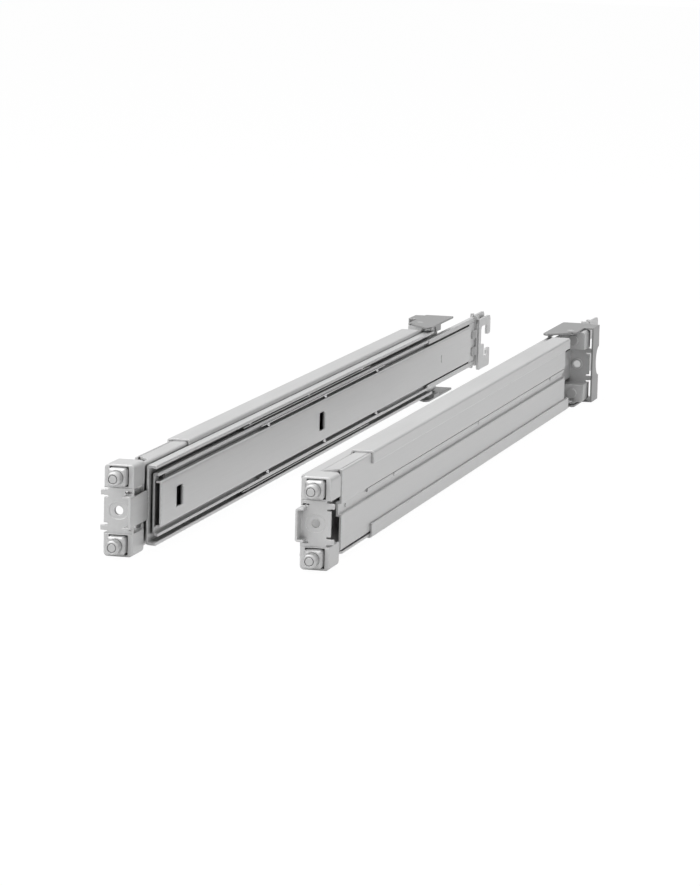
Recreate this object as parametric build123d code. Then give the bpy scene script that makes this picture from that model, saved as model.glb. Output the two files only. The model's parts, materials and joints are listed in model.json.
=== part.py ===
from build123d import *
import os

# Sliding server rail pair, in millimetres.
# Each rail is drawn in its own frame: x runs inboard from the mounting pin axis,
# y runs rearward from the front face plane, z is measured from mid-height.
# The left rail is drawn as is and the right rail is its mirror image.

# Whole pair
pin_axis_spacing = 93.4
post_spacing = 616.5
pin_pitch = 31.75
half_pitch = pin_pitch / 2

# Sliding clearances
arm_clearance = 0.1
ball_clearance = 0.1
groove_clearance = 0.08
pin_clearance = 0.08
collar_clearance = 0.3
collar_gap = 0.5
seat_gap = 0.3

# Sheet gauges
support_gauge = 1.1
plate_gauge = 1.1
arm_gauge = 1.0
web_gauge = 1.05
flange_gauge = 1.5
server_gauge = 1.0
bracket_gauge = 1.5
latch_gauge = 1.0
cage_gauge = 0.4
tight_bend = 0.3
corner_bend = 1.2

# Ball slide, seen in cross-section
slide_web_x = 7.0
outer_half = 18.8
outer_depth = 5.1
middle_step = 0.9
middle_half = 14.9
middle_depth = 3.35
server_half = 11.0
server_web_x = 12.3
server_depth = 2.7
outer_ball_x = 9.9
outer_ball_r = 1.45
inner_ball_x = 11.5
inner_ball_r = 1.4
outer_flange_inner = outer_half - flange_gauge
middle_flange_inner = middle_half - flange_gauge
outer_ball_z = (outer_flange_inner + middle_half) / 2
inner_ball_z = (middle_flange_inner + server_half) / 2
middle_web_x = slide_web_x + web_gauge + middle_step

# Ball slide, along its length
slide_front = 24.0
outer_front = 19.0
outer_front_slant = 1.5
middle_front_slant = 2.0
outer_setback = 31.5
outer_rear = post_spacing - outer_setback
middle_setback = 15.0
middle_rear = outer_rear - middle_setback
server_overhang = 65.5
server_rear = post_spacing + server_overhang
cage_length = 260.0
outer_cage_front = 170.0
outer_cage_rear = outer_cage_front + cage_length
inner_cage_front = 200.0
inner_cage_rear = inner_cage_front + cage_length
balls_per_row = 3
cage_end_margin = 15.0
outer_cage_x = 8.3
cage_lip_reach = 3.1
inner_cage_x = 10.35
inner_cage_reach = 2.6
inner_cage_lift = 0.7

# Server member cut-outs
server_slots_y = (53.25, 318.75)
server_slot_length = 9.5
server_slot_height = 9.6
server_tab_reach = 3.2
server_tab_flat = 1.2
server_tab_root = 1.5
server_tab_lift = 1.5
server_tab_end = 0.5
sight_slot_setback = 14.5
sight_slot_y = post_spacing - sight_slot_setback
sight_slot_width = 1.5
sight_slot_height = 5.0

# Front stop block
stop_front = 30.0
stop_length = 3.5
stop_width = 2.0

# Support channel and ribbed side plate
support_half = 19.85
support_edge_x = -1.5
support_front = 20.0
support_flange_front = 31.0
support_sweep = 7.5
support_setback = 25.0
support_rear = outer_rear - support_setback
plate_x = -3.3
plate_lip_x = -1.9
plate_front = 35.0
plate_gap = 0.7
plate_low = support_half - support_gauge - plate_gap
groove_depth = 1.6
groove_low = -1.2
groove_high = 4.0
groove_slope = 0.3
plate_bend = 0.8
rib_bend = 0.5

# Fasteners between the sheets
stud_count = 3
stud_front = 140.0
stud_rear_margin = 40.0
bracket_stud_y = 48.0
bracket_rivet_y = 40.0
bracket_rivet_z = 5.5
stud_z = (groove_low + groove_high) / 2
stud_r = 1.8
stud_shank_r = 1.1
stud_head_r = 1.6
rivet_shank_r = 0.6
rivet_head_r = 0.85
head_height = 0.3
slide_rivet_count = 4
slide_rivet_front = 90.0
slide_rivet_rear_margin = 40.0
slide_spacer_r = 4.5
slide_rivet_r = 2.0
slide_head_r = 3.2
slide_head_height = 0.7

# Rear arm that runs outside the support channel
arm_half = support_half + arm_clearance + arm_gauge
arm_front = 91.0
arm_web_gap = 5.0
arm_web_front = support_rear + arm_web_gap
arm_prong_overlap = 3.0
arm_prong_rear = arm_web_front + arm_prong_overlap
arm_top_lip = 6.0
arm_bottom_lip = 7.0
arm_inner_lip = 8.0
ear_setback = 28.5
ear_front = post_spacing - ear_setback
ear_length = 6.0
ear_z = 17.6
ear_reach = 3.0

# Guide strip in the groove
strip_low = 1.6
strip_high = 3.4
strip_front = 88.0
strip_gauge = 0.9
strip_z = (strip_low + strip_high) / 2

# Mounting bracket
bracket_half_width = 7.05
opening_size = 9.2
half_opening = opening_size / 2
block_cap = 1.0
block_ledge = 0.7
bracket_half_height = half_pitch + half_opening + block_cap
block_low = half_pitch - half_opening - block_ledge
block_depth = 17.0
block_wall = 1.2
opening_break = 0.35
block_round = 2.0
dimple_width = 9.2
dimple_height = 8.0
dimple_depth = 0.35
centre_hole_r = 2.1
centre_hole_wall = 1.0
notch_length = 1.5
notch_width = 0.9
notch_z = (6.4, 10.0)
ear_out = 1.6
ear_low = 7.0
ear_high = 9.4
side_flange_depth = 20.0
arm_rear = post_spacing - side_flange_depth

# Hood on the front bracket
hood_half = 7.8
hood_reach = 6.8
hood_proud = 0.7
hood_lip = 3.3
hood_gauge = 1.0
hood_slot_front = 3.0
hood_slot_rear = 6.2
hood_slot_width = 1.0

# Tongue that ties the front bracket to the channel
tongue_gauge = 1.5
tongue_half = 8.4
tongue_rear = 58.0
rear_tongue_gap = 10.0
rear_tongue_front = arm_web_front + rear_tongue_gap

# Mounting pin
pin_tip = 10.0
pin_head_r = 3.35
pin_nose_round = 1.1
pin_shaft_r = 2.8
pin_button_r = 1.8
pin_ring_width = 0.4
pin_ring_depth = 0.6
pin_tail_r = 2.2
pin_tail_head_r = 3.0
pin_tail_head = 0.8

# Sprung square collar around the pin
collar_reach = 4.4
collar_round = 1.4
collar_break = 0.8
collar_boss_r = 3.9
collar_boss_height = 0.35
collar_flange_margin = 0.25
collar_flange = 1.2

# Rear latch
latch_lift = 0.25
latch_half = arm_half + latch_lift + latch_gauge
latch_side_x = -8.8
latch_tip_x = 11.0
latch_tip_setback = 46.5
latch_tip_y = post_spacing - latch_tip_setback
latch_right_x = 13.0
latch_tip_length = 4.5
latch_right_front = latch_tip_y + latch_tip_length
latch_overhang = 17.5
latch_rear = post_spacing + latch_overhang
latch_side_lead = 4.5
latch_side_front = post_spacing - latch_side_lead
latch_side_overhang = 14.0
latch_side_rear = post_spacing + latch_side_overhang
latch_left_setback = 29.0
latch_left_front = post_spacing - latch_left_setback
latch_left_x = -4.2
latch_corner = 1.5
latch_arc_r = 8.5
latch_arc_z = 1.0
latch_tab_gap = 13.0
latch_tab_front = latch_right_front + latch_tab_gap
latch_tab_length = 12.0
latch_tab_rear = latch_tab_front + latch_tab_length
latch_tab_drop = 3.0
latch_tab_low = arm_half - latch_tab_drop
latch_lip_drop = 1.25
latch_lip_low = arm_half - latch_lip_drop
latch_lip_gap = 1.5
latch_lip_front = outer_rear + latch_lip_gap
latch_hole_x = -1.0
latch_hole_setback = 30.5
latch_hole_y = post_spacing - latch_hole_setback
latch_hole_r = 1.6
pivot_x = 1.0
pivot_gap = 3.5
pivot_y = post_spacing - block_depth - pivot_gap
pivot_r = 2.0
pivot_shoulder_r = 3.4
pivot_tail_r = 1.5
pivot_head_r = 2.3
pivot_head = 0.8
pivot_ear_length = 5.5
pivot_ear_front = pivot_y - pivot_ear_length
pivot_ear_half_width = 4.5

# Cable-arm bracket behind the slide
guide_gap = 2.0
guide_front = middle_rear + guide_gap
guide_overhang = 16.0
guide_rear = server_rear + guide_overhang
guide_depth = 3.35
guide_lip = 2.8
guide_plate_half = 15.5
guide_plate_gauge = 1.8
guide_plate_inner_x = 14.5
guide_tall_half = 16.9
guide_tall_width = 1.6
hook_plate_x = 13.0
hook_plate_gauge = 1.5
hook_root_length = 14.0
hook_root_front = guide_rear - hook_root_length
hook_throat_gap = 12.0
hook_throat_rear = guide_rear + hook_throat_gap
hook_tooth_length = 8.0
hook_tooth_rear = hook_throat_rear + hook_tooth_length
hook_lower_mouth = 5.4
hook_lower_tip = 9.6
hook_upper_mouth = 13.5
hook_upper_tip = 12.5
hook_upper_rear = hook_throat_rear + hook_upper_mouth + hook_upper_tip
hook_lower_rear = hook_tooth_rear + hook_lower_mouth + hook_lower_tip
hook_upper_arm = 7.2
hook_lower_arm = 8.2
hook_upper_top = 13.0
hook_upper_drop = 12.0
hook_upper_end = hook_upper_top - hook_upper_drop
hook_lower_end = -7.9
hook_lower_drop = 12.4
hook_lower_bottom = hook_lower_end - hook_lower_drop
hook_tooth_lift = 3.2
hook_tooth_top = hook_lower_end + hook_tooth_lift
hook_round = 3.4
hook_tip_round = 1.5
bumper_z = (5.3, -5.2)
bumper_half = 2.6
bumper_gap = 2.0
bumper_front = server_rear + bumper_gap
bumper_width = 1.7
bumper_round = 2.3
guide_rivet_gap = 6.5
guide_rivet_y = guide_front + guide_rivet_gap
guide_rivet_z = 8.0
guide_rivet_pad_r = 3.0
guide_rivet_r = 1.6
guide_rivet_head = 0.6

# Placing both rails in one frame, centred over the floor
pair_front = -pin_tip
pair_rear = hook_upper_rear
shift_x = pin_axis_spacing / 2
shift_y = -(pair_front + pair_rear) / 2
shift_z = latch_half


def rect(x0, x1, z0, z1):
    return Pos((x0 + x1) / 2, (z0 + z1) / 2) * Rectangle(x1 - x0, z1 - z0)


def box(x0, x1, y0, y1, z0, z1):
    centre = Pos((x0 + x1) / 2, (y0 + y1) / 2, (z0 + z1) / 2)
    return centre * Box(x1 - x0, y1 - y0, z1 - z0)


def run_y(section, y0, y1):
    return Pos(0, y0, 0) * extrude(Plane.XZ * section, amount=y0 - y1)


def run_x(section, x0, x1):
    return Pos(x0, 0, 0) * extrude(Plane.YZ * section, amount=x1 - x0)


def run_z(section, z0, z1):
    return Pos(0, 0, z0) * extrude(section, amount=z1 - z0)


def rod_x(radius, x0, x1, y, z):
    return Pos((x0 + x1) / 2, y, z) * Rot(0, 90, 0) * Cylinder(radius, x1 - x0)


def rod_y(radius, y0, y1, x, z):
    return Pos(x, (y0 + y1) / 2, z) * Rot(90, 0, 0) * Cylinder(radius, y1 - y0)


def rod_z(radius, z0, z1, x, y):
    return Pos(x, y, (z0 + z1) / 2) * Cylinder(radius, z1 - z0)


def strip(points, gauge, bend):
    path = FilletPolyline(*points, radius=bend + gauge / 2)
    return trace(path, line_width=gauge)


def spaced(first, last, count):
    step = (last - first) / (count - 1)
    return [first + step * index for index in range(count)]


def stud_positions():
    return spaced(stud_front, support_rear - stud_rear_margin, stud_count)


def slide_rivet_positions():
    return spaced(slide_rivet_front, outer_rear - slide_rivet_rear_margin, slide_rivet_count)


def both_heights(shape):
    return shape + mirror(shape, about=Plane.XY)


def turned_to_rear(shape):
    return Pos(0, post_spacing, 0) * mirror(shape, about=Plane.XZ)


def channel(web_x, edge_x, half_height, web, flange):
    outside = rect(web_x, edge_x, -half_height, half_height)
    inside = rect(web_x + web, edge_x, flange - half_height, half_height - flange)
    corners = outside.vertices().sort_by(Axis.X)[:2]
    rounded = fillet(corners, corner_bend)
    hollow_corners = inside.vertices().sort_by(Axis.X)[:2]
    return rounded - fillet(hollow_corners, tight_bend)


def groove(radius, x, z, y0, y1):
    return rod_y(radius + groove_clearance, y0, y1, x, z)


def ball_positions(front, rear):
    return spaced(front + cage_end_margin, rear - cage_end_margin, balls_per_row)


def slanted_front_cutter(x_tip, x_base, front, slant, half_height):
    profile = Polyline((x_tip, front), (x_base, front), (x_base, front + slant), close=True)
    return run_z(make_face(profile), -half_height, half_height)


def support_web_inner():
    return slide_web_x - arm_gauge - 2 * arm_clearance


def support_web_outer():
    return support_web_inner() - support_gauge


def support_channel():
    web_middle = support_web_inner() - support_gauge / 2
    flange_middle = support_half - support_gauge / 2
    points = [
        (support_edge_x, flange_middle),
        (web_middle, flange_middle),
        (web_middle, -flange_middle),
        (plate_x, -flange_middle),
    ]
    shape = run_y(strip(points, support_gauge, tight_bend), support_front, support_rear)
    sweep_start = support_web_outer() - tight_bend
    shape -= box(
        plate_x, sweep_start, support_front, support_flange_front, -support_half, support_half
    )
    shape -= slanted_front_cutter(
        sweep_start, plate_x, support_flange_front, support_sweep, support_half
    )
    for y in slide_rivet_positions():
        shape -= rod_x(slide_rivet_r, support_edge_x, support_web_inner(), y, 0)
    for z in (bracket_rivet_z, -bracket_rivet_z):
        shape -= rod_x(stud_shank_r, support_edge_x, support_web_inner(), bracket_rivet_y, z)
    return fastener_holes(shape, support_edge_x, support_web_inner())


def side_plate():
    inner = plate_x + plate_gauge
    floor = groove_floor_outer()
    floor_inner = groove_floor_inner()
    lip = support_half - plate_gauge
    outline = Polyline(
        (plate_lip_x, support_half),
        (plate_x, support_half),
        (plate_x, groove_high),
        (floor, groove_high - groove_slope),
        (floor, groove_low + groove_slope),
        (plate_x, groove_low),
        (plate_x, -plate_low),
        (inner, -plate_low),
        (inner, groove_low - plate_gauge),
        (floor_inner, groove_low - plate_gauge + groove_slope),
        (floor_inner, groove_high + plate_gauge - groove_slope),
        (inner, groove_high + plate_gauge),
        (inner, lip),
        (plate_lip_x, lip),
        close=True,
    )
    section = make_face(outline)
    outside = [corner for corner in section.vertices() if corner.X < plate_x + arm_clearance]
    bends = [corner for corner in outside if abs(corner.Y) > groove_high + arm_clearance]
    section = fillet(bends, plate_bend)
    outside = [corner for corner in section.vertices() if corner.X < plate_x + arm_clearance]
    rib_bends = [corner for corner in outside if abs(corner.Y) < groove_high + arm_clearance]
    section = fillet(rib_bends, rib_bend)
    shape = run_y(section, plate_front, support_rear)
    return fastener_holes(shape, plate_x, floor_inner)


def groove_floor_outer():
    return plate_x + groove_depth


def groove_floor_inner():
    return groove_floor_outer() + plate_gauge


def stud(inner_face, y):
    outer = groove_floor_outer()
    shank_end = support_web_inner()
    body = rod_x(stud_r, groove_floor_inner(), inner_face, y, stud_z)
    body += rod_x(rivet_shank_r, outer, shank_end, y, stud_z)
    body += rod_x(rivet_head_r, outer - head_height, outer, y, stud_z)
    body += rod_x(stud_head_r, shank_end, shank_end + head_height, y, stud_z)
    return body


def strip_stud(y):
    outer = groove_floor_outer() - strip_gauge
    shank_end = support_web_inner()
    body = rod_x(stud_r, groove_floor_inner(), support_web_outer(), y, strip_z)
    body += rod_x(rivet_shank_r, outer, shank_end, y, strip_z)
    body += rod_x(rivet_head_r, outer - head_height, outer, y, strip_z)
    body += rod_x(stud_head_r, shank_end, shank_end + head_height, y, strip_z)
    return body


def side_plate_studs():
    return Compound([strip_stud(y) for y in stud_positions()])


def bracket_rivet(z):
    web_inner = support_web_inner()
    tongue_face = support_web_outer() - tongue_gauge
    head_start = tongue_face - head_height
    body = rod_x(stud_shank_r, head_start, web_inner, bracket_rivet_y, z)
    body += rod_x(stud_head_r, head_start, tongue_face, bracket_rivet_y, z)
    return body + rod_x(stud_head_r, web_inner, web_inner + head_height, bracket_rivet_y, z)


def bracket_rivets():
    groove_stud = stud(support_web_outer() - tongue_gauge, bracket_stud_y)
    return Compound([groove_stud, bracket_rivet(bracket_rivet_z), bracket_rivet(-bracket_rivet_z)])


def fastener_holes(shape, x0, x1):
    for y in stud_positions():
        shape -= rod_x(rivet_shank_r, x0, x1, y, strip_z)
    return shape - rod_x(rivet_shank_r, x0, x1, bracket_stud_y, stud_z)


def slide_rivets():
    web_in = support_web_inner()
    web_out = support_web_outer()
    slide_face = slide_web_x + web_gauge
    rivets = []
    for y in slide_rivet_positions():
        spacer = rod_x(slide_spacer_r, web_in, slide_web_x, y, 0)
        spacer += rod_x(slide_rivet_r, web_out, slide_face, y, 0)
        spacer += rod_x(slide_head_r, web_out - slide_head_height, web_out, y, 0)
        rivets.append(spacer)
    return Compound(rivets)


def outer_member():
    edge = slide_web_x + outer_depth
    section = channel(slide_web_x, edge, outer_half, web_gauge, flange_gauge)
    shape = run_y(section, outer_front, outer_rear)
    shape -= slanted_front_cutter(
        edge, slide_web_x, outer_front, outer_front_slant, outer_half
    )
    for side in (1, -1):
        shape -= groove(
            outer_ball_r, outer_ball_x, side * outer_ball_z, outer_front, outer_rear
        )
        shape -= rod_x(
            guide_rivet_r, slide_web_x, edge, guide_rivet_y, side * guide_rivet_z
        )
    for y in slide_rivet_positions():
        shape -= rod_x(slide_rivet_r, slide_web_x, edge, y, 0)
    return shape


def intermediate_member():
    edge = middle_web_x + middle_depth
    section = channel(middle_web_x, edge, middle_half, web_gauge, flange_gauge)
    front = slide_front - middle_front_slant
    shape = run_y(section, front, middle_rear)
    shape -= slanted_front_cutter(
        edge, middle_web_x, front, middle_front_slant, middle_half
    )
    for side in (1, -1):
        shape -= groove(outer_ball_r, outer_ball_x, side * outer_ball_z, front, middle_rear)
        shape -= groove(inner_ball_r, inner_ball_x, side * inner_ball_z, front, middle_rear)
    return shape


def inner_member():
    inner_face = server_web_x + server_gauge
    edge = inner_face - server_depth
    section = mirror(
        channel(-inner_face, -edge, server_half, server_gauge, server_gauge), about=Plane.YZ
    )
    shape = run_y(section, slide_front, server_rear)
    for side in (1, -1):
        shape -= groove(inner_ball_r, inner_ball_x, side * inner_ball_z, slide_front, server_rear)
    for y in server_slots_y:
        shape -= box(
            server_web_x, inner_face,
            y - server_slot_length / 2, y + server_slot_length / 2,
            -server_slot_height / 2, server_slot_height / 2,
        )
        shape += server_tab(y + server_slot_length / 2, inner_face)
    sight_slot = SlotOverall(sight_slot_height, sight_slot_width, rotation=90)
    return shape - Pos(0, sight_slot_y, 0) * run_x(sight_slot, server_web_x, inner_face)


def server_tab(slot_rear, face):
    front = slot_rear - server_tab_reach
    bend = front + server_tab_flat
    top = face + server_tab_lift
    profile = Polyline(
        (top - server_gauge, front),
        (top, front),
        (top, bend),
        (face, slot_rear + server_tab_root),
        (face - server_gauge, slot_rear + server_tab_root),
        (face - server_gauge, slot_rear),
        (top - server_gauge, bend),
        close=True,
    )
    half = server_slot_height / 2 - server_tab_end
    return run_z(make_face(profile), -half, half)


def outer_ball_cage():
    strip_z = outer_ball_z + cage_gauge / 2
    section = rect(outer_cage_x, outer_cage_x + cage_gauge, -strip_z, strip_z)
    lip = rect(
        outer_cage_x, outer_cage_x + cage_gauge + cage_lip_reach, strip_z - cage_gauge, strip_z
    )
    section += lip + mirror(lip, about=Plane.XZ)
    shape = run_y(section, outer_cage_front, outer_cage_rear)
    hole = outer_ball_r + ball_clearance
    for y in ball_positions(outer_cage_front, outer_cage_rear):
        for side in (1, -1):
            shape -= Pos(outer_ball_x, y, side * outer_ball_z) * Sphere(hole)
    return shape


def inner_ball_cages():
    low = inner_ball_z + inner_cage_lift
    right = inner_cage_x + inner_cage_reach
    shape = box(
        inner_cage_x, right, inner_cage_front, inner_cage_rear, low, low + cage_gauge
    )
    hole = inner_ball_r + ball_clearance
    for y in ball_positions(inner_cage_front, inner_cage_rear):
        shape -= Pos(inner_ball_x, y, inner_ball_z) * Sphere(hole)
    return both_heights(shape)


def ball_set(radius, x, z, front, rear):
    balls = []
    for y in ball_positions(front, rear):
        for side in (1, -1):
            balls.append(Pos(x, y, side * z) * Sphere(radius))
    return Compound(balls)


def outer_balls():
    return ball_set(outer_ball_r, outer_ball_x, outer_ball_z, outer_cage_front, outer_cage_rear)


def inner_balls():
    return ball_set(inner_ball_r, inner_ball_x, inner_ball_z, inner_cage_front, inner_cage_rear)


def front_stop():
    inner_face = middle_web_x + web_gauge
    low = server_half + seat_gap
    block = box(
        inner_face, inner_face + stop_width, stop_front, stop_front + stop_length,
        low, middle_flange_inner - tight_bend,
    )
    return block


def rear_arm():
    inner_lip_x = slide_web_x - arm_clearance - arm_gauge / 2
    outer_lip_x = plate_x - arm_clearance - arm_gauge / 2
    top = arm_half - arm_gauge / 2
    upper = [
        (outer_lip_x, arm_half - arm_top_lip),
        (outer_lip_x, top),
        (inner_lip_x, top),
        (inner_lip_x, arm_half - arm_inner_lip),
    ]
    lower = [
        (outer_lip_x, arm_bottom_lip - arm_half),
        (outer_lip_x, -top),
        (inner_lip_x, -top),
        (inner_lip_x, arm_inner_lip - arm_half),
    ]
    shape = run_y(strip(upper, arm_gauge, tight_bend), arm_front, arm_prong_rear)
    shape += run_y(strip(lower, arm_gauge, tight_bend), arm_front, arm_prong_rear)
    web_half = arm_half - arm_gauge - tight_bend
    shape += box(
        inner_lip_x - arm_gauge / 2, inner_lip_x + arm_gauge / 2,
        arm_web_front, arm_rear, -web_half, web_half,
    )
    ear = box(
        inner_lip_x - ear_reach, inner_lip_x,
        ear_front, ear_front + ear_length, ear_z - arm_gauge, ear_z,
    )
    return shape + both_heights(ear)


def guide_strip():
    face = groove_floor_outer()
    shape = box(face - strip_gauge, face, strip_front, support_rear, strip_low, strip_high)
    for y in stud_positions():
        shape -= rod_x(rivet_shank_r, face - strip_gauge, face, y, strip_z)
    return shape


def bracket_block(top):
    outside = box(-bracket_half_width, bracket_half_width, 0, block_depth, block_low, top)
    edges = outside.edges().filter_by(Axis.Y).sort_by(Axis.Z)[-2:]
    outside = fillet(edges, block_round)
    front_edges = outside.faces().sort_by(Axis.Y)[0].edges()
    outside = chamfer(front_edges, opening_break)
    cavity = box(
        block_wall - bracket_half_width, bracket_half_width - block_wall,
        bracket_gauge, block_depth - bracket_gauge,
        half_pitch - half_opening, half_pitch + half_opening,
    )
    opening = box(
        -half_opening, half_opening, 0, bracket_gauge,
        half_pitch - half_opening, half_pitch + half_opening,
    )
    tail = rod_y(pin_tail_r, block_depth - bracket_gauge, block_depth, 0, half_pitch)
    return outside - cavity - opening - tail


def notch(z):
    tip = notch_length - bracket_half_width
    slot = box(-bracket_half_width, tip, 0, bracket_gauge, z - notch_width / 2, z + notch_width / 2)
    return slot + rod_y(notch_width / 2, 0, bracket_gauge, tip, z)


def bracket_face():
    shape = box(
        -bracket_half_width, bracket_half_width, 0, bracket_gauge, -block_low, block_low
    )
    wall = rod_y(
        centre_hole_r + centre_hole_wall, bracket_gauge, bracket_gauge + centre_hole_wall, 0, 0
    )
    shape += wall
    shape -= run_y(SlotOverall(dimple_width, dimple_height), 0, dimple_depth)
    shape -= rod_y(centre_hole_r, 0, bracket_gauge + centre_hole_wall, 0, 0)
    ear = box(
        -bracket_half_width - ear_out, -bracket_half_width, 0, bracket_gauge, ear_low, ear_high
    )
    shape += both_heights(ear)
    for z in notch_z:
        shape -= both_heights(notch(z))
    return shape + side_flange()


def side_flange():
    inner = bracket_half_width + hood_proud
    half = hood_half - hood_gauge
    return box(inner - hood_gauge, inner, 0, side_flange_depth, -half, half)


def hood():
    right = bracket_half_width + hood_proud
    middle_x = right - hood_gauge / 2
    middle_z = hood_half - hood_gauge / 2
    points = [
        (middle_x - hood_lip, middle_z),
        (middle_x, middle_z),
        (middle_x, -middle_z),
        (middle_x - hood_lip, -middle_z),
    ]
    return run_y(strip(points, hood_gauge, tight_bend), -hood_reach, 0)


def hood_slots():
    middle_x = (hood_slot_front + hood_slot_rear) / 2
    middle_z = hood_half + seat_gap + hood_slot_width / 2
    outline = SlotOverall(hood_slot_rear - hood_slot_front, hood_slot_width)
    slot = Pos(middle_x, 0, middle_z) * run_y(outline, 0, bracket_gauge)
    return both_heights(slot)


def mounting_bracket(top):
    block = bracket_block(top)
    return bracket_face() + block + mirror(block, about=Plane.XY)


def front_bracket():
    shape = mounting_bracket(bracket_half_height) + hood() - hood_slots()
    web_outer = support_web_outer()
    tongue = box(
        web_outer - tongue_gauge, web_outer,
        bracket_gauge, tongue_rear, -tongue_half, tongue_half,
    )
    tongue -= rod_x(rivet_shank_r, 0, web_outer, bracket_stud_y, stud_z)
    for z in (bracket_rivet_z, -bracket_rivet_z):
        tongue -= rod_x(stud_shank_r, 0, web_outer, bracket_rivet_y, z)
    return shape + tongue


def rear_bracket():
    shape = turned_to_rear(mounting_bracket(arm_half))
    web_outer = slide_web_x - arm_clearance - arm_gauge
    tongue = box(
        web_outer - tongue_gauge, web_outer, rear_tongue_front, post_spacing - bracket_gauge,
        -tongue_half, tongue_half,
    )
    ear = box(
        pivot_x - pivot_ear_half_width, pivot_x + pivot_ear_half_width,
        pivot_ear_front, post_spacing - block_depth + bracket_gauge,
        half_pitch + half_opening, arm_half - seat_gap,
    )
    ear -= rod_z(pivot_tail_r, 0, latch_half, pivot_x, pivot_y)
    return shape + tongue + both_heights(ear)


def mounting_pin():
    head_rear = -collar_reach - collar_boss_height - collar_gap
    ring_outer = pin_button_r + pin_ring_width
    tail_start = block_depth - bracket_gauge
    profile = Polyline(
        (0, -pin_tip),
        (pin_button_r, -pin_tip),
        (pin_button_r, pin_ring_depth - pin_tip),
        (ring_outer, pin_ring_depth - pin_tip),
        (ring_outer, -pin_tip),
        (pin_head_r, -pin_tip),
        (pin_head_r, head_rear),
        (pin_shaft_r, head_rear),
        (pin_shaft_r, tail_start),
        (pin_tail_r, tail_start),
        (pin_tail_r, block_depth),
        (pin_tail_head_r, block_depth),
        (pin_tail_head_r, block_depth + pin_tail_head),
        (0, block_depth + pin_tail_head),
        close=True,
    )
    section = make_face(profile)
    nose = section.vertices().sort_by_distance((pin_head_r, -pin_tip, 0))[:1]
    section = fillet(nose, pin_nose_round)
    return Pos(0, 0, half_pitch) * revolve(section, axis=Axis.Y)


def front_pins():
    pin = mounting_pin()
    return Compound([pin, mirror(pin, about=Plane.XY)])


def collar():
    half = half_opening - collar_clearance
    start = bracket_gauge + pin_clearance
    nose = box(-half, half, -collar_reach, start, -half, half)
    nose = fillet(nose.edges().filter_by(Axis.Y), collar_round)
    nose = chamfer(nose.faces().sort_by(Axis.Y)[0].edges(), collar_break)
    boss_front = -collar_reach - collar_boss_height
    nose += rod_y(collar_boss_r, boss_front, -collar_reach, 0, 0)
    flange_x = bracket_half_width - block_wall - collar_flange_margin
    flange_z = half_opening - collar_flange_margin
    flange = box(-flange_x, flange_x, start, start + collar_flange, -flange_z, flange_z)
    bore = rod_y(pin_shaft_r + pin_clearance, boss_front, start + collar_flange, 0, 0)
    return Pos(0, 0, half_pitch) * (nose + flange - bore)


def latch_plate():
    outline = Polyline(
        (latch_left_x, latch_left_front),
        (latch_tip_x, latch_tip_y),
        (latch_right_x, latch_right_front),
        (latch_right_x, latch_rear),
        (latch_left_x, latch_rear),
        (latch_left_x, latch_side_rear),
        (latch_side_x - latch_gauge, latch_side_rear),
        (latch_side_x - latch_gauge, latch_side_front),
        (latch_left_x, latch_side_front),
        close=True,
    )
    face = make_face(outline)
    by_y = face.vertices().sort_by(Axis.Y)
    face = fillet([by_y[0], by_y[2], by_y[-1], by_y[-2]], latch_corner)
    low = latch_half - latch_gauge
    plate = run_z(face, low, latch_half)
    plate -= rod_z(pivot_r + pin_clearance, low, latch_half, pivot_x, pivot_y)
    return plate - rod_z(latch_hole_r, low, latch_half, latch_hole_x, latch_hole_y)


def latch_side_lip():
    return box(
        latch_right_x - latch_gauge, latch_right_x,
        latch_lip_front, latch_tab_rear,
        latch_lip_low, latch_half - latch_gauge,
    )


def latch_side():
    side = box(
        latch_side_x - latch_gauge, latch_side_x,
        latch_side_front, latch_side_rear, -latch_half, latch_half,
    )
    return side - rod_x(
        latch_arc_r, latch_side_x - latch_gauge, latch_side_x, latch_side_rear, latch_arc_z
    )


def rear_latch():
    shape = both_heights(latch_plate()) + latch_side()
    lip = latch_side_lip()
    tab = box(
        latch_right_x - latch_gauge, latch_right_x,
        latch_tab_front, latch_tab_rear, latch_tab_low, latch_half,
    )
    return shape + lip + mirror(lip, about=Plane.XY) + tab


def latch_pins():
    ear_top = arm_half - seat_gap
    ear_low_face = half_pitch + half_opening
    shoulder_top = latch_half - latch_gauge
    pin = rod_z(pivot_r, shoulder_top, latch_half, pivot_x, pivot_y)
    pin += rod_z(pivot_shoulder_r, ear_top, shoulder_top, pivot_x, pivot_y)
    pin += rod_z(pivot_tail_r, ear_low_face, ear_top, pivot_x, pivot_y)
    pin += rod_z(pivot_head_r, ear_low_face - pivot_head, ear_low_face, pivot_x, pivot_y)
    return Compound([pin, mirror(pin, about=Plane.XY)])


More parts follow.
